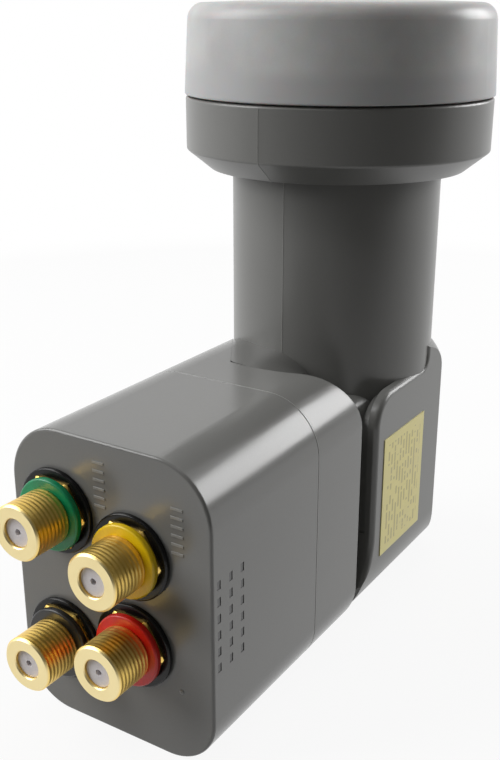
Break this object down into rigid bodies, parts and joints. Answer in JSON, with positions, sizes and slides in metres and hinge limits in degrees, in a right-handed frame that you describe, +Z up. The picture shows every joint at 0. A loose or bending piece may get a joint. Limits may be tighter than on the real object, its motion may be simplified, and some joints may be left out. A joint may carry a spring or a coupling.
{
  "type": "satellite lnb",
  "caption": "Satellite low-noise block converter: capped feed horn on a round clamp neck, rounded box ahead of it, gold F outputs with coloured rings.",
  "frame": {"origin": "where the neck axis meets the plane of the flat foot", "axes": "+Z up along the neck towards the horn's cap, -Y towards the sockets, +X to the side with the label"},
  "size_m": [0.058, 0.1104, 0.1139],
  "materials": {
    "cap_plastic": "pale grey-white translucent moulding, satin",
    "housing_plastic": "dark warm grey moulding, satin with soft reflections",
    "seal_rubber": "black rubber, moulded smooth",
    "label_film": "gold-yellow sticker with plain bars",
    "cast_metal": "die-cast, as cast",
    "screw_steel": "zinc plated",
    "board_laminate": "green solder mask",
    "chip_black": "moulded chip body",
    "contact_metal": "tinned or gilt brass",
    "gold_plate": "gold plated brass, fine thread",
    "white_insulator": "white moulded plastic",
    "green_ring": "green plastic",
    "yellow_ring": "yellow plastic",
    "black_ring": "black plastic",
    "red_ring": "red plastic"
  },
  "bodies": {
    "root": {"backshort_cover": "cast_metal", "black_contact": "contact_metal", "black_ident_ring": "black_ring", "black_insulator": "white_insulator", "black_seal_washer": "seal_rubber", "black_socket": "gold_plate", "board_header": "chip_black", "cap_seal": "seal_rubber", "converter_board": "board_laminate", "converter_chip": "chip_black", "cover_screws": "screw_steel", "feed_cap": "cap_plastic", "front_hood": "housing_plastic", "front_probe": "contact_metal", "green_contact": "contact_metal", "green_ident_ring": "green_ring", "green_insulator": "white_insulator", "green_seal_washer": "seal_rubber", "green_socket": "gold_plate", "horn_chassis": "cast_metal", "left_shell": "housing_plastic", "middle_frame": "housing_plastic", "red_contact": "contact_metal", "red_ident_ring": "red_ring", "red_insulator": "white_insulator", "red_seal_washer": "seal_rubber", "red_socket": "gold_plate", "right_shell": "housing_plastic", "side_label": "label_film", "side_probe": "contact_metal", "switch_board": "board_laminate", "switch_chip": "chip_black", "voltage_regulator": "chip_black", "yellow_contact": "contact_metal", "yellow_ident_ring": "yellow_ring", "yellow_insulator": "white_insulator", "yellow_seal_washer": "seal_rubber", "yellow_socket": "gold_plate"}
  },
  "joints": []
}
